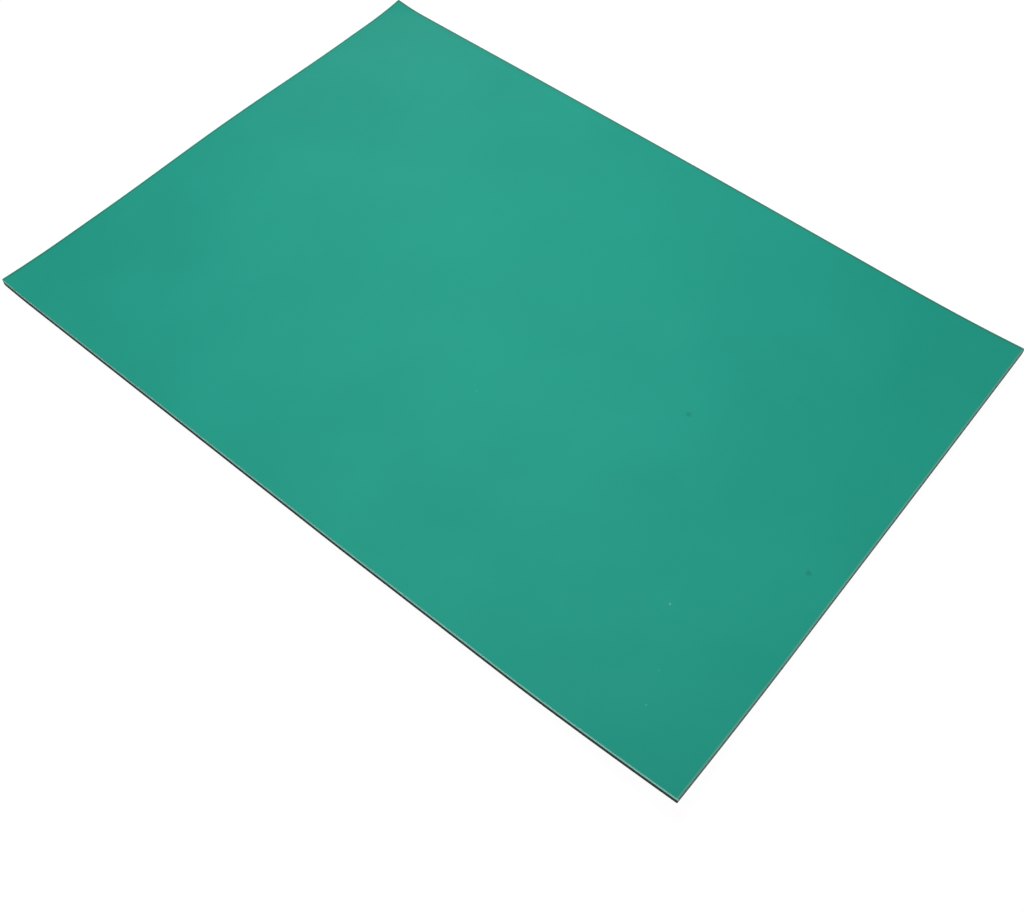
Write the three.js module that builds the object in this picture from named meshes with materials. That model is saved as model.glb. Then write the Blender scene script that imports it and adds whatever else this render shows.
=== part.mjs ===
import * as THREE from 'three';
import { toCreasedNormals } from 'three/addons/utils/BufferGeometryUtils.js';

// Silicone bench mat: a green work surface bonded to a black base, cut square as one A4 sheet.
// Sizes are in millimetres. X runs along the long edges, Y along the short ones and Z is up.
// The origin is on the bench, under the middle of the mat. Near is -Y, left is -X.

// Cut size
const matLength = 297;
const matWidth = 210;
const cornerRadius = 0.3;

// Plies, bonded face to face
const basePlyThickness = 2.0;
const surfacePlyThickness = 1.0;

// Corner curls: how high each corner stands off the bench, and how far along each edge it lifts
const nearRightLift = 7.8;
const nearRightReachX = 107;
const nearRightReachY = 62;
const farRightLift = 1.65;
const farRightReachX = 45;
const farRightReachY = 97;
const farLeftLift = 1.2;
const farLeftReachX = 15;
const farLeftReachY = 19;
const nearLeftLift = 0.95;
const nearLeftReachX = 15;
const nearLeftReachY = 28;

// Edge humps: height at the edge, place of the crest along the edge from its middle,
// distance from the crest to where the edge lies down again, and reach in from the edge
const leftHumpLift = 0.95;
const leftHumpCrest = 4;
const leftHumpHalfLength = 63;
const leftHumpReach = 90;
const farHumpLift = 1.05;
const farHumpCrest = -1;
const farHumpHalfLength = 200;
const farHumpReach = 70;
const nearHumpLift = 0.8;
const nearHumpCrest = 58;
const nearHumpHalfLength = 47;
const nearHumpReach = 60;

// Facets
const cellsAlongLength = 32;
const cellsAlongWidth = 24;
const cornerArcSegments = 4;
const arcToFacetLine = 3.7;
const creaseAngle = Math.PI / 6;

const cornerCurls = [
	{ sideX: 1, sideY: - 1, lift: nearRightLift, reachX: nearRightReachX, reachY: nearRightReachY },
	{ sideX: 1, sideY: 1, lift: farRightLift, reachX: farRightReachX, reachY: farRightReachY },
	{ sideX: - 1, sideY: 1, lift: farLeftLift, reachX: farLeftReachX, reachY: farLeftReachY },
	{ sideX: - 1, sideY: - 1, lift: nearLeftLift, reachX: nearLeftReachX, reachY: nearLeftReachY }
];

// From 1 at t = 0 down to 0 at t = 1, where it meets the flat without a crease
function curlProfile( t ) {

	return Math.max( 0, 1 - t ) ** 2;

}

// A smooth hump from t = -1 to t = 1
function humpProfile( t ) {

	return Math.abs( t ) < 1 ? ( 1 + Math.cos( Math.PI * t ) ) / 2 : 0;

}

// Height of the mat's underside off the bench at a point of the plan
function liftAt( x, y ) {

	let lift = 0;

	for ( const curl of cornerCurls ) {

		const inwardX = matLength / 2 - curl.sideX * x;
		const inwardY = matWidth / 2 - curl.sideY * y;
		lift += curl.lift * curlProfile( inwardX / curl.reachX + inwardY / curl.reachY );

	}

	const fromLeft = matLength / 2 + x;
	const fromFar = matWidth / 2 - y;
	const fromNear = matWidth / 2 + y;
	lift += leftHumpLift * humpProfile( ( y - leftHumpCrest ) / leftHumpHalfLength )
		* curlProfile( fromLeft / leftHumpReach );
	lift += farHumpLift * humpProfile( ( x - farHumpCrest ) / farHumpHalfLength )
		* curlProfile( fromFar / farHumpReach );
	lift += nearHumpLift * humpProfile( ( x - nearHumpCrest ) / nearHumpHalfLength )
		* curlProfile( fromNear / nearHumpReach );

	return lift;

}

// Facet lines across one side: a band at each end holds the corner arcs, with even cells between
function facetLines( side, cells ) {

	const inner = side / 2 - cornerRadius - arcToFacetLine;
	const lines = [ - side / 2 ];

	for ( let i = 0; i <= cells; i ++ ) {

		lines.push( inner * ( 2 * i / cells - 1 ) );

	}

	lines.push( side / 2 );

	return lines;

}

// Points of the rounded corner at sideX, sideY, counter-clockwise from above
function cornerArc( sideX, sideY ) {

	const centre = new THREE.Vector2(
		sideX * ( matLength / 2 - cornerRadius ),
		sideY * ( matWidth / 2 - cornerRadius )
	);
	const middleAngle = Math.atan2( sideY, sideX );
	const arc = new THREE.ArcCurve(
		centre.x, centre.y, cornerRadius,
		middleAngle - Math.PI / 4, middleAngle + Math.PI / 4
	);

	return arc.getPoints( cornerArcSegments );

}

// The plan that both plies share: its points, its triangles and the loop of points on its edge
function matPlan() {

	const xs = facetLines( matLength, cellsAlongLength );
	const ys = facetLines( matWidth, cellsAlongWidth );
	const columns = xs.length - 1;
	const rows = ys.length - 1;
	const points = [];
	const triangles = [];

	// What stands at each crossing of the facet lines: one point, or at a corner its whole arc
	const crossings = ys.map( ( y, j ) => xs.map( ( x, i ) => {

		const atCorner = ( i === 0 || i === columns ) && ( j === 0 || j === rows );
		const added = atCorner ? cornerArc( Math.sign( x ), Math.sign( y ) ) : [ new THREE.Vector2( x, y ) ];

		return added.map( ( point ) => points.push( point ) - 1 );

	} ) );

	for ( let j = 0; j < rows; j ++ ) {

		for ( let i = 0; i < columns; i ++ ) {

			const outline = [
				...crossings[ j ][ i ],
				...crossings[ j ][ i + 1 ],
				...crossings[ j + 1 ][ i + 1 ],
				...crossings[ j + 1 ][ i ]
			];
			const middleX = ( xs[ i ] + xs[ i + 1 ] ) / 2;
			const middleY = ( ys[ j ] + ys[ j + 1 ] ) / 2;
			const diagonalFalls = middleX * middleY > 0;
			triangles.push( ...fan( outline, fanStart( outline, points, diagonalFalls ) ) );

		}

	}

	const rim = [
		...crossings[ 0 ].slice( 0, - 1 ).flat(),
		...crossings.slice( 0, - 1 ).flatMap( ( row ) => row[ columns ] ),
		...crossings[ rows ].slice( 1 ).reverse().flat(),
		...crossings.slice( 1 ).reverse().flatMap( ( row ) => row[ 0 ] )
	];

	return { points, triangles, rim };

}

// A plain cell's diagonal runs across its corner's curl, along the line of even height.
// A cell with a corner arc is fanned from its point nearest the middle of the mat.
function fanStart( outline, points, diagonalFalls ) {

	if ( outline.length === 4 ) {

		return diagonalFalls ? 1 : 0;

	}

	const distances = outline.map( ( index ) => points[ index ].length() );

	return distances.indexOf( Math.min( ...distances ) );

}

// Triangles of a convex outline, all from its point at start
function fan( outline, start ) {

	const turned = [ ...outline.slice( start ), ...outline.slice( 0, start ) ];
	const triangles = [];

	for ( let k = 1; k < turned.length - 1; k ++ ) {

		triangles.push( [ turned[ 0 ], turned[ k ], turned[ k + 1 ] ] );

	}

	return triangles;

}

// One ply: a lower skin, an upper skin and the cut edge between them
function plyGeometry( plan, bottom, thickness ) {

	const positions = [];

	for ( const skinHeight of [ bottom, bottom + thickness ] ) {

		for ( const { x, y } of plan.points ) {

			positions.push( x, y, skinHeight + liftAt( x, y ) );

		}

	}

	const upper = plan.points.length;
	const indices = [];

	for ( const [ a, b, c ] of plan.triangles ) {

		indices.push( c, b, a );
		indices.push( a + upper, b + upper, c + upper );

	}

	plan.rim.forEach( ( a, k ) => {

		const b = plan.rim[ ( k + 1 ) % plan.rim.length ];
		indices.push( a, b, b + upper );
		indices.push( a, b + upper, a + upper );

	} );

	const geometry = new THREE.BufferGeometry();
	geometry.setAttribute( 'position', new THREE.Float32BufferAttribute( positions, 3 ) );
	geometry.setIndex( indices );

	return toCreasedNormals( geometry, creaseAngle );

}

function ply( name, plan, bottom, thickness, material ) {

	const mesh = new THREE.Mesh( plyGeometry( plan, bottom, thickness ), material );
	mesh.name = name;

	return mesh;

}

const blackSilicone = new THREE.MeshStandardMaterial( { color: 0x17211d, roughness: 0.75, metalness: 0 } );
const greenSilicone = new THREE.MeshStandardMaterial( { color: 0x2a9c86, roughness: 0.6, metalness: 0 } );

const plan = matPlan();
const mat = new THREE.Group();
mat.add( ply( 'black_base_ply', plan, 0, basePlyThickness, blackSilicone ) );
mat.add( ply( 'green_surface_ply', plan, basePlyThickness, surfacePlyThickness, greenSilicone ) );

export default mat;
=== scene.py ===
import math

import bpy
import numpy as np
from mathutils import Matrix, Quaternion, Vector


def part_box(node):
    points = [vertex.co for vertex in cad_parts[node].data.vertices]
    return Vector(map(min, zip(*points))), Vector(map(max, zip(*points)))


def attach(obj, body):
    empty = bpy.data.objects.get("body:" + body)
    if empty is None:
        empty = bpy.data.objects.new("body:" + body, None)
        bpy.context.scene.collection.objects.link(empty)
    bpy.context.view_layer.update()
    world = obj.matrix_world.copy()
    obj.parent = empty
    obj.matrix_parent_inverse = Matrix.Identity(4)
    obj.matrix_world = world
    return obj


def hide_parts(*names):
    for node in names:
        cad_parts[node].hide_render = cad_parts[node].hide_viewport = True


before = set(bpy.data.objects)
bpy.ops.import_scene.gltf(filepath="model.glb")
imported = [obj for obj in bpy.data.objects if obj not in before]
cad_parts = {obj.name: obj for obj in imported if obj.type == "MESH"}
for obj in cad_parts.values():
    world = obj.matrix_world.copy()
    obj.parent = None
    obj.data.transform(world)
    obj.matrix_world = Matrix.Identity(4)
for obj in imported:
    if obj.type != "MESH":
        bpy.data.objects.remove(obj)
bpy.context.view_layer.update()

# Silicone bench mat: a green work surface bonded to a black base, lying on a pale floor.
# Metres throughout. X runs along the long edges, Y along the short ones, near is -Y, left is -X.

MM = 0.001

# The view: where the camera stands, the point of the floor it looks at, its turn about that line,
# and its lens and the width of its sensor, which alone are in millimetres
CAMERA_AT = Vector((175.81, -215.64, 336.73)) * MM
CAMERA_AIM = Vector((38.35, -42.84, 0.0)) * MM
CAMERA_ROLL = math.radians(1.480)
CAMERA_LENS = 42.723
CAMERA_SENSOR = 36.0

# Sizes that the frame gives
base_low, base_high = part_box("black_base_ply")
surface_low, surface_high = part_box("green_surface_ply")
MAT_LENGTH = base_high.x - base_low.x
MAT_WIDTH = base_high.y - base_low.y
SURFACE_THICKNESS = surface_high.z - base_high.z

# Radii of the plan's corners, of the mat's top and bottom edges, and of the edges where the plies meet
CORNER_RADIUS = 0.3 * MM
TOP_ARRIS = 0.2 * MM
BOTTOM_ARRIS = 0.15 * MM
BOND_ARRIS = 0.05 * MM

# Strips of the green face along its edges: the border, darkened on the left and far sides as painted
# shade, and the one on the right side, paler as a painted highlight
BORDER_WIDTH = 0.95 * MM
HIGHLIT_BORDER_WIDTH = 0.7 * MM

# Each corner's curl: side along X, side along Y, lift at the corner, reach along X, reach along Y
CORNER_CURLS = (
    (1, -1, 7.8 * MM, 107 * MM, 62 * MM),
    (1, 1, 1.65 * MM, 45 * MM, 97 * MM),
    (-1, 1, 1.2 * MM, 15 * MM, 19 * MM),
    (-1, -1, 0.95 * MM, 15 * MM, 28 * MM),
)

# Each edge's hump: lift at the edge, place of its crest along the edge, half its length, reach inwards
LEFT_HUMP = (0.95 * MM, 4 * MM, 63 * MM, 90 * MM)
FAR_HUMP = (1.05 * MM, -1 * MM, 200 * MM, 70 * MM)
NEAR_HUMP = (0.8 * MM, 58 * MM, 47 * MM, 60 * MM)

# Fineness of the meshes
CELL = 2.0 * MM
ARRIS_STEPS = 5
CORNER_STEPS = 8
CUT_FACE_STEPS = 3


def make_camera():
    data = bpy.data.cameras.new("camera")
    data.lens = CAMERA_LENS
    data.sensor_width = CAMERA_SENSOR
    camera = bpy.data.objects.new("camera", data)
    bpy.context.scene.collection.objects.link(camera)
    level = (CAMERA_AIM - CAMERA_AT).to_track_quat("-Z", "Y")
    camera.rotation_mode = "QUATERNION"
    camera.rotation_quaternion = level @ Quaternion((0, 0, 1), CAMERA_ROLL)
    camera.location = CAMERA_AT
    bpy.context.scene.camera = camera


def curl_profile(t):
    """From 1 at t = 0 down to 0 at t = 1, where it meets the flat without a crease."""
    return np.maximum(0.0, 1.0 - t) ** 2


def hump_profile(t):
    """A smooth hump from t = -1 to t = 1."""
    return np.where(np.abs(t) < 1, (1 + np.cos(np.pi * t)) / 2, 0.0)


def lift_at(x, y):
    """Height of the mat's underside off the floor at points of the plan."""
    lift = np.zeros_like(x)
    for side_x, side_y, height, reach_x, reach_y in CORNER_CURLS:
        inward_x = MAT_LENGTH / 2 - side_x * x
        inward_y = MAT_WIDTH / 2 - side_y * y
        lift += height * curl_profile(inward_x / reach_x + inward_y / reach_y)
    edges = (
        (LEFT_HUMP, y, MAT_LENGTH / 2 + x),
        (FAR_HUMP, x, MAT_WIDTH / 2 - y),
        (NEAR_HUMP, x, MAT_WIDTH / 2 + y),
    )
    for (height, crest, half_length, reach), along, inward in edges:
        lift += height * hump_profile((along - crest) / half_length) * curl_profile(inward / reach)
    return lift


def skin_lines(side, first_strip, last_strip):
    """Places of a skin's grid lines across one side: a strip at each end and even cells between."""
    edge = side / 2 - CORNER_RADIUS
    inner = np.linspace(first_strip - side / 2, side / 2 - last_strip, round(side / CELL) + 1)
    return np.concatenate([[-edge], inner, [edge]])


# A ply's materials by number: its face, its pale cut (partly painted highlight), the border along the
# left and far sides darkened as painted shade, the border along the right side paled as a painted
# highlight, and its cut darkened as painted shade
FACE, CUT, SHADED_BORDER, HIGHLIT_BORDER, SHADED_CUT = 0, 1, 2, 3, 4

# Bands of the edge's section, each by its material on the near side, on the right side and on the others
# The arris: pale as a painted highlight on the near side, painted shade on the right, left and far sides
ARRIS = (CUT, SHADED_CUT, SHADED_BORDER)
# The ring: plain face on the near side, painted highlight on the right side, painted shade on the left
# and far sides
RING = (FACE, HIGHLIT_BORDER, SHADED_BORDER)
# The cut: pale, partly painted highlight, on the near, left and far sides, painted shade on the right
# side
KNIFE_CUT = (CUT, SHADED_CUT, CUT)
# The cut's lowest band, beside the black ply: painted shade on the near and right sides
LOWEST_CUT = (SHADED_CUT, SHADED_CUT, CUT)
PLAIN = (FACE, FACE, FACE)

# A face is on the near or the right side if more than this share of its way outwards points there
SIDEWAYS = 0.5


def slot_on_side(band, outward):
    """The band's material where its face looks outward."""
    near, right, others = band
    if outward[1] < -SIDEWAYS:
        return near
    return right if outward[0] > SIDEWAYS else others


class PlyMesh:
    """A ply's mesh: two skins of even cells, joined round the edge by the loops of its section."""

    def __init__(self):
        self.points = []
        self.faces = []
        self.slots = []

    def add_faces(self, faces, slot):
        self.faces += faces
        self.slots += [slot] * len(faces)

    def add_points(self, plan, height):
        """Adds points at one height of the section, lifted as the mat is, and returns their numbers."""
        first = len(self.points)
        x, y = plan[:, 0], plan[:, 1]
        self.points += np.column_stack([x, y, height + lift_at(x, y)]).tolist()
        return np.arange(first, len(self.points))

    def skin(self, height, upward):
        """One skin inside the corner arcs. Returns the grid of its points' numbers."""
        grid_x, grid_y = np.meshgrid(
            skin_lines(MAT_LENGTH, BORDER_WIDTH, HIGHLIT_BORDER_WIDTH),
            skin_lines(MAT_WIDTH, BORDER_WIDTH, BORDER_WIDTH),
        )
        plan = np.column_stack([grid_x.ravel(), grid_y.ravel()])
        grid = self.add_points(plan, height).reshape(grid_x.shape)
        quads = np.stack([grid[:-1, :-1], grid[:-1, 1:], grid[1:, 1:], grid[1:, :-1]], axis=-1)
        if upward:
            self.add_faces(quads[:-1, 1:-1].reshape(-1, 4).tolist(), FACE)
            self.add_faces(np.concatenate([quads[:, 0], quads[-1, 1:-1]]).tolist(), SHADED_BORDER)
            # Painted shade on the left and far strips
            self.add_faces(quads[:, -1].tolist(), HIGHLIT_BORDER)
        # Painted highlight on the right strip
        else:
            self.add_faces(quads[:, :, ::-1].reshape(-1, 4).tolist(), FACE)
        return grid

    def rim(self, grid):
        """The skin's edge, counter-clockwise: each point's number and the way outwards there.

        A corner's point comes once for each step of its arc.
        """
        sides = (
            (grid[0, :], -90),
            (grid[:, -1], 0),
            (grid[-1, ::-1], 90),
            (grid[::-1, 0], 180),
        )
        numbers, angles = [], []
        for side, facing in sides:
            numbers += [side[0]] * CORNER_STEPS
            angles += [facing - 90 * (1 - k / CORNER_STEPS) for k in range(CORNER_STEPS)]
            numbers += side[:-1].tolist()
            angles += [facing] * (len(side) - 1)
        turned = np.radians(angles)
        return numbers, np.column_stack([np.cos(turned), np.sin(turned)])

    def edge(self, lower_grid, upper_grid, section):
        """Joins the skins' rims by loops. section lists (inset, height, band below)."""
        lower, outward = self.rim(lower_grid)
        upper, _ = self.rim(upper_grid)
        inner_plan = np.array([self.points[n][:2] for n in lower])
        loops = [lower]
        for inset, height, _ in section[:-1]:
            loop = self.add_points(inner_plan + outward * (CORNER_RADIUS - inset), height)
            loops.append(loop.tolist())
        loops.append(upper)
        for below, above, (_, _, band) in zip(loops, loops[1:], section):
            for k in range(len(below)):
                n = (k + 1) % len(below)
                corners = [below[k], below[n], above[n], above[k]]
                face = [c for i, c in enumerate(corners) if c != corners[i - 1]]
                self.add_faces([face], slot_on_side(band, outward[k]))

    def to_object(self, name, materials):
        mesh = bpy.data.meshes.new(name)
        mesh.from_pydata(self.points, [], self.faces)
        for material in materials:
            mesh.materials.append(material)
        mesh.polygons.foreach_set("material_index", self.slots)
        mesh.polygons.foreach_set("use_smooth", [True] * len(self.faces))
        mesh.update()
        piece = bpy.data.objects.new(name, mesh)
        bpy.context.scene.collection.objects.link(piece)
        return piece


def section_of(bottom, top, bottom_round, top_round):
    """The edge's section from the lower skin up to the upper one, as (inset, height, band below)."""
    section = [(bottom_round, bottom, PLAIN)]
    for k in range(1, ARRIS_STEPS + 1):
        angle = math.pi / 2 * k / ARRIS_STEPS
        inset = bottom_round * (1 - math.sin(angle))
        section.append((inset, bottom + bottom_round * (1 - math.cos(angle)), PLAIN))
    cut_low = bottom + bottom_round
    cut_high = top - top_round
    for k in range(1, CUT_FACE_STEPS + 1):
        band = LOWEST_CUT if k == 1 else KNIFE_CUT
        section.append((0.0, cut_low + (cut_high - cut_low) * k / CUT_FACE_STEPS, band))
    for k in range(1, ARRIS_STEPS + 1):
        angle = math.pi / 2 * k / ARRIS_STEPS
        inset = top_round * (1 - math.cos(angle))
        section.append((inset, cut_high + top_round * math.sin(angle), ARRIS))
    section.append((CORNER_RADIUS, top, RING))
    return section


def make_ply(name, bottom, top, bottom_round, top_round, materials):
    ply = PlyMesh()
    lower = ply.skin(bottom, False)
    upper = ply.skin(top, True)
    ply.edge(lower, upper, section_of(bottom, top, bottom_round, top_round))
    return ply.to_object(name, materials)


def noise(nodes, links, coordinates, size, detail=2.0, stretch=(1, 1, 1)):
    """Noise with features about size metres across, stretched along the axes by stretch."""
    mapping = nodes.new("ShaderNodeMapping")
    mapping.inputs["Scale"].default_value = [1 / (size * s) for s in stretch]
    links.new(coordinates, mapping.inputs["Vector"])
    texture = nodes.new("ShaderNodeTexNoise")
    texture.inputs["Scale"].default_value = 1.0
    texture.inputs["Detail"].default_value = detail
    links.new(mapping.outputs["Vector"], texture.inputs["Vector"])
    return texture.outputs["Fac"]


def ramp(nodes, links, factor, low, high, low_color, high_color):
    """low_color where factor is under low, high_color over high, and a blend between."""
    node = nodes.new("ShaderNodeValToRGB")
    node.color_ramp.elements[0].position = low
    node.color_ramp.elements[0].color = (*low_color, 1)
    node.color_ramp.elements[1].position = high
    node.color_ramp.elements[1].color = (*high_color, 1)
    links.new(factor, node.inputs["Fac"])
    return node.outputs["Color"]


# Noise seldom leaves this range
NOISE_LOW, NOISE_HIGH = 0.3, 0.7


def remap(nodes, links, value, low, high):
    """A noise value, spread from low to high."""
    node = nodes.new("ShaderNodeMapRange")
    node.inputs["From Min"].default_value = NOISE_LOW
    node.inputs["From Max"].default_value = NOISE_HIGH
    node.inputs["To Min"].default_value = low
    node.inputs["To Max"].default_value = high
    links.new(value, node.inputs["Value"])
    return node.outputs["Result"]


def bump(nodes, links, height, distance, strength, after=None):
    """A normal from height, over the normal that after gives, if any."""
    node = nodes.new("ShaderNodeBump")
    node.inputs["Distance"].default_value = distance
    node.inputs["Strength"].default_value = strength
    links.new(height, node.inputs["Height"])
    if after is not None:
        links.new(after, node.inputs["Normal"])
    return node.outputs["Normal"]


def mixed(nodes, links, factor, under, over):
    """The colour that under gives, with the colour over laid on it as far as factor says."""
    node = nodes.new("ShaderNodeMix")
    node.data_type = "RGBA"
    links.new(factor, node.inputs["Factor"])
    links.new(under, node.inputs["A"])
    node.inputs["B"].default_value = (*over, 1)
    return node.outputs["Result"]


def start_material(name):
    """A new material, with what its makers need: nodes, links, shader and object coordinates."""
    material = bpy.data.materials.new(name)
    material.use_nodes = True
    nodes = material.node_tree.nodes
    links = material.node_tree.links
    shader = nodes["Principled BSDF"]
    coordinates = nodes.new("ShaderNodeTexCoord").outputs["Object"]
    return material, nodes, links, shader, coordinates


# Looks: the deep and the light colour of each surface, and the colours of the dirt
GREEN_DEEP = (0.0074, 0.242, 0.178)
GREEN_LIGHT = (0.0088, 0.253, 0.187)
# Painted shade: the border along the left and far sides, darker than the face
GREEN_SHADED_BORDER_DEEP = (0.027, 0.150, 0.108)
GREEN_SHADED_BORDER_LIGHT = (0.033, 0.162, 0.118)
# Painted highlight: the border along the right side, paler than the face
GREEN_HIGHLIT_BORDER_DEEP = (0.056, 0.282, 0.212)
GREEN_HIGHLIT_BORDER_LIGHT = (0.064, 0.296, 0.224)
# The pale cut: partly the frosted cut's own paler colour, partly painted highlight, which also colours
# the near side's arris
GREEN_CUT_AND_HIGHLIGHT_DEEP = (0.074, 0.280, 0.222)
GREEN_CUT_AND_HIGHLIGHT_LIGHT = (0.100, 0.325, 0.260)
# Painted shade: the cut of the right side, and the near side's cut beside the black ply
GREEN_SHADED_CUT_DEEP = (0.018, 0.095, 0.070)
GREEN_SHADED_CUT_LIGHT = (0.024, 0.110, 0.082)
BLACK_DEEP = (0.006, 0.010, 0.008)
BLACK_LIGHT = (0.009, 0.014, 0.011)
DARK_SPECK = (0.010, 0.12, 0.085)
PALE_MOTE = (0.16, 0.42, 0.36)

# Silicone's refraction, and the lowest and highest roughness and the specular level of each surface
SILICONE_IOR = 1.41
GREEN_FACE_ROUGHNESS = (0.69, 0.72)
GREEN_FACE_SPECULAR = 0.18
GREEN_CUT_ROUGHNESS = (0.50, 0.66)
GREEN_CUT_SPECULAR = 0.5
BLACK_FACE_ROUGHNESS = (0.62, 0.74)
BLACK_FACE_SPECULAR = 0.25
BLACK_CUT_ROUGHNESS = (0.60, 0.75)
BLACK_CUT_SPECULAR = 0.08

# Sizes of the patterns: patches of colour, patches of wear, the moulded grain, waves in the green face,
# the ragged edge of a speck, the frosting of a cut, and the drag lines that the knife left along it
GREEN_PATCH = 45 * MM
GREEN_WEAR = 12 * MM
GREEN_GRAIN = 0.35 * MM
GREEN_WAVE = 9 * MM
BLACK_PATCH = 30 * MM
BLACK_WEAR = 10 * MM
BLACK_GRAIN = 0.45 * MM
SPECK_RAG = 0.6 * MM
CUT_FROST = 0.8 * MM
CUT_DRAG = 0.12 * MM
CUT_DRAG_STRETCH = (40, 40, 1)

# The noise at which a patch is all deep and all light
PATCH_LOW, PATCH_HIGH = 0.35, 0.65

# The relief that patterns give a surface: its depth, and how strongly it shows
GREEN_GRAIN_BUMP = (0.02 * MM, 0.5)
GREEN_WAVE_BUMP = (0.02 * MM, 0.15)
BLACK_GRAIN_BUMP = (0.03 * MM, 0.6)
CUT_DRAG_BUMP = (0.02 * MM, 0.7)

# A speck is whole out to the first share of its radius and gone at the second
SPECK_WHOLE, SPECK_GONE = 0.6, 1.5

# Dirt on the work surface: place along X and Y, radius, and how strongly it shows
DARK_SPECKS = (
    (74.3 * MM, 7.0 * MM, 1.5 * MM, 0.50),
    (137.6 * MM, -18.4 * MM, 1.4 * MM, 0.45),
    (99.0 * MM, 36.6 * MM, 1.9 * MM, 0.11),
)
PALE_MOTES = (
    (13.5 * MM, -31.9 * MM, 0.36 * MM, 0.40),
    (110.8 * MM, -54.7 * MM, 0.52 * MM, 0.67),
    (121.0 * MM, -74.7 * MM, 0.36 * MM, 0.35),
    (124.7 * MM, -86.3 * MM, 0.45 * MM, 0.34),
    (-93.6 * MM, -76.1 * MM, 0.40 * MM, 0.12),
)


def speck_mask(nodes, links, coordinates, edge_noise, x, y, radius, strength):
    """strength inside a ragged spot at x, y, fading out at its edge."""
    flat = nodes.new("ShaderNodeVectorMath")
    flat.operation = "MULTIPLY"
    flat.inputs[1].default_value = (1, 1, 0)
    links.new(coordinates, flat.inputs[0])
    distance = nodes.new("ShaderNodeVectorMath")
    distance.operation = "DISTANCE"
    distance.inputs[1].default_value = (x, y, 0)
    links.new(flat.outputs["Vector"], distance.inputs[0])
    ragged = nodes.new("ShaderNodeMath")
    ragged.operation = "MULTIPLY_ADD"
    ragged.inputs[1].default_value = radius
    links.new(edge_noise, ragged.inputs[0])
    links.new(distance.outputs["Value"], ragged.inputs[2])
    fade = nodes.new("ShaderNodeMapRange")
    fade.interpolation_type = "SMOOTHSTEP"
    fade.inputs["From Min"].default_value = radius * SPECK_WHOLE
    fade.inputs["From Max"].default_value = radius * SPECK_GONE
    fade.inputs["To Min"].default_value = strength
    fade.inputs["To Max"].default_value = 0
    links.new(ragged.outputs["Value"], fade.inputs["Value"])
    return fade.outputs["Result"]


def green_skin(name, deep, light, specks, motes):
    """The moulded green skin: smooth matte silicone with a fine grain and a little dirt."""
    material, nodes, links, shader, coordinates = start_material(name)
    patches = noise(nodes, links, coordinates, GREEN_PATCH, detail=3)
    color = ramp(nodes, links, patches, PATCH_LOW, PATCH_HIGH, deep, light)
    ragged = noise(nodes, links, coordinates, SPECK_RAG)
    for speck in specks:
        mask = speck_mask(nodes, links, coordinates, ragged, *speck)
        color = mixed(nodes, links, mask, color, DARK_SPECK)
    for mote in motes:
        mask = speck_mask(nodes, links, coordinates, ragged, *mote)
        color = mixed(nodes, links, mask, color, PALE_MOTE)
    links.new(color, shader.inputs["Base Color"])
    wear = noise(nodes, links, coordinates, GREEN_WEAR, detail=4)
    links.new(remap(nodes, links, wear, *GREEN_FACE_ROUGHNESS), shader.inputs["Roughness"])
    shader.inputs["IOR"].default_value = SILICONE_IOR
    shader.inputs["Specular IOR Level"].default_value = GREEN_FACE_SPECULAR
    grain = noise(nodes, links, coordinates, GREEN_GRAIN, detail=3)
    waves = noise(nodes, links, coordinates, GREEN_WAVE, detail=1)
    fine = bump(nodes, links, grain, *GREEN_GRAIN_BUMP)
    wavy = bump(nodes, links, waves, *GREEN_WAVE_BUMP, after=fine)
    links.new(wavy, shader.inputs["Normal"])
    return material


def green_face():
    return green_skin("green silicone, moulded face", GREEN_DEEP, GREEN_LIGHT, DARK_SPECKS, PALE_MOTES)


def green_shaded_border():
    """The narrow border along the left and far sides, darker than the rest: painted shade."""
    return green_skin("green silicone, border with painted shade", GREEN_SHADED_BORDER_DEEP, GREEN_SHADED_BORDER_LIGHT, (), ())


def green_highlit_border():
    """The right side's border, paler than the rest: a painted highlight."""
    return green_skin("green silicone, border with painted highlight", GREEN_HIGHLIT_BORDER_DEEP, GREEN_HIGHLIT_BORDER_LIGHT, (), ())


def black_face():
    """The moulded black underside."""
    material, nodes, links, shader, coordinates = start_material("black silicone, moulded face")
    patches = noise(nodes, links, coordinates, BLACK_PATCH, detail=3)
    color = ramp(nodes, links, patches, PATCH_LOW, PATCH_HIGH, BLACK_DEEP, BLACK_LIGHT)
    links.new(color, shader.inputs["Base Color"])
    wear = noise(nodes, links, coordinates, BLACK_WEAR, detail=4)
    links.new(remap(nodes, links, wear, *BLACK_FACE_ROUGHNESS), shader.inputs["Roughness"])
    shader.inputs["IOR"].default_value = SILICONE_IOR
    shader.inputs["Specular IOR Level"].default_value = BLACK_FACE_SPECULAR
    grain = noise(nodes, links, coordinates, BLACK_GRAIN, detail=3)
    links.new(bump(nodes, links, grain, *BLACK_GRAIN_BUMP), shader.inputs["Normal"])
    return material


def knife_cut(name, deep, light, roughness, specular):
    """A knife-cut edge: frosted silicone with fine drag lines along it."""
    material, nodes, links, shader, coordinates = start_material(name)
    frost = noise(nodes, links, coordinates, CUT_FROST, detail=4)
    color = ramp(nodes, links, frost, NOISE_LOW, NOISE_HIGH, deep, light)
    links.new(color, shader.inputs["Base Color"])
    links.new(remap(nodes, links, frost, *roughness), shader.inputs["Roughness"])
    shader.inputs["IOR"].default_value = SILICONE_IOR
    shader.inputs["Specular IOR Level"].default_value = specular
    drag = noise(nodes, links, coordinates, CUT_DRAG, detail=3, stretch=CUT_DRAG_STRETCH)
    links.new(bump(nodes, links, drag, *CUT_DRAG_BUMP), shader.inputs["Normal"])
    return material


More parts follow.
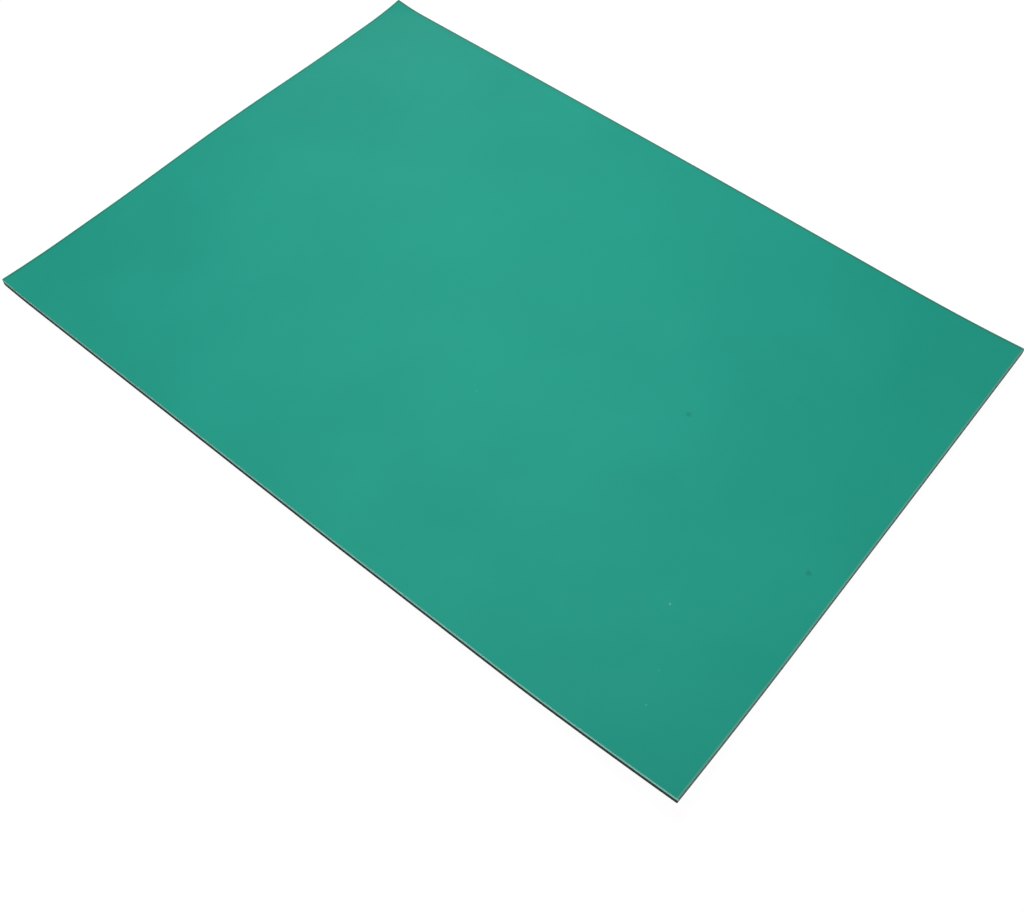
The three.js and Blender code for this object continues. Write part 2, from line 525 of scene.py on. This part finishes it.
# The pale green cut: partly its own paler colour, partly painted highlight, also on the near side's
# arris
def green_cut_and_highlight():
    return knife_cut(
        "green silicone, cut edge and painted highlight",
        GREEN_CUT_AND_HIGHLIGHT_DEEP, GREEN_CUT_AND_HIGHLIGHT_LIGHT, GREEN_CUT_ROUGHNESS, GREEN_CUT_SPECULAR,
    )


def green_shaded_cut():
    """The green cut of the right side, and of the near side beside the black ply, darker: painted shade.
    """
    return knife_cut(
        "green silicone, cut edge with painted shade",
        GREEN_SHADED_CUT_DEEP, GREEN_SHADED_CUT_LIGHT, GREEN_CUT_ROUGHNESS, GREEN_CUT_SPECULAR,
    )


def black_cut():
    return knife_cut(
        "black silicone, cut edge",
        BLACK_DEEP, BLACK_LIGHT, BLACK_CUT_ROUGHNESS, BLACK_CUT_SPECULAR,
    )


# Stage and lights
FLOOR_SIZE = 8.0
FLOOR_ALBEDO = (0.06, 0.06, 0.06)
FLOOR_GLOW = 0.96
FLOOR_ROUGHNESS = 0.9
WORLD_LIGHT = 0.20
KEY_AT = Vector((-61, 46, 441)) * MM
KEY_SIZE = 0.22
KEY_POWER = 2.0
SIDE_AT = Vector((-560, 540, 200)) * MM
SIDE_SIZE = 0.30
SIDE_POWER = 1.8
FRONT_AT = Vector((347, -547, 150)) * MM
FRONT_SIZE = 0.30
FRONT_POWER = 2.9


def make_floor():
    """A pale floor, lit from within as a light table is, so that hardly a shadow falls on it."""
    mesh = bpy.data.meshes.new("floor")
    half = FLOOR_SIZE / 2
    corners = [(-half, -half, 0), (half, -half, 0), (half, half, 0), (-half, half, 0)]
    mesh.from_pydata(corners, [], [(0, 1, 2, 3)])
    material, _, _, shader, _ = start_material("pale floor")
    shader.inputs["Base Color"].default_value = (*FLOOR_ALBEDO, 1)
    shader.inputs["Roughness"].default_value = FLOOR_ROUGHNESS
    shader.inputs["Specular IOR Level"].default_value = 0.0
    shader.inputs["Emission Color"].default_value = (1, 1, 1, 1)
    shader.inputs["Emission Strength"].default_value = FLOOR_GLOW
    mesh.materials.append(material)
    floor = bpy.data.objects.new("floor", mesh)
    bpy.context.scene.collection.objects.link(floor)


def make_area_light(name, at, aim, size, power):
    data = bpy.data.lights.new(name, "AREA")
    data.shape = "DISK"
    data.size = size
    data.energy = power
    light = bpy.data.objects.new(name, data)
    bpy.context.scene.collection.objects.link(light)
    light.location = at
    light.rotation_mode = "QUATERNION"
    light.rotation_quaternion = (aim - at).to_track_quat("-Z", "Y")


def make_lights():
    world = bpy.data.worlds.new("soft white room")
    world.use_nodes = True
    background = world.node_tree.nodes["Background"]
    background.inputs["Color"].default_value = (1, 1, 1, 1)
    background.inputs["Strength"].default_value = WORLD_LIGHT
    bpy.context.scene.world = world
    middle = Vector((0, 0, 0))
    make_area_light("key softbox", KEY_AT, middle, KEY_SIZE, KEY_POWER)
    far_left = Vector((-MAT_LENGTH / 2, MAT_WIDTH / 2, 0))
    make_area_light("side softbox", SIDE_AT, far_left, SIDE_SIZE, SIDE_POWER)
    near_right = Vector((MAT_LENGTH / 3, -MAT_WIDTH / 3, 0))
    make_area_light("front softbox", FRONT_AT, near_right, FRONT_SIZE, FRONT_POWER)


make_camera()
# The black ply's slots for painted shade and highlight hold only its plain face and cut
base = make_ply(
    "black_base", base_low.z, surface_low.z, BOTTOM_ARRIS, BOND_ARRIS,
    [black_face(), black_cut(), black_face(), black_face(), black_cut()],
)
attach(base, "root")
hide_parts("black_base_ply")

# The green ply: its face, its pale cut with painted highlight, its borders with painted shade and
# painted highlight, and its cut with painted shade
surface = make_ply(
    "green_surface", surface_low.z, surface_low.z + SURFACE_THICKNESS, BOND_ARRIS, TOP_ARRIS,
    [green_face(), green_cut_and_highlight(), green_shaded_border(), green_highlit_border(), green_shaded_cut()],
)
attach(surface, "root")
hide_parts("green_surface_ply")

make_floor()
make_lights()
bpy.context.scene.view_settings.view_transform = "Standard"
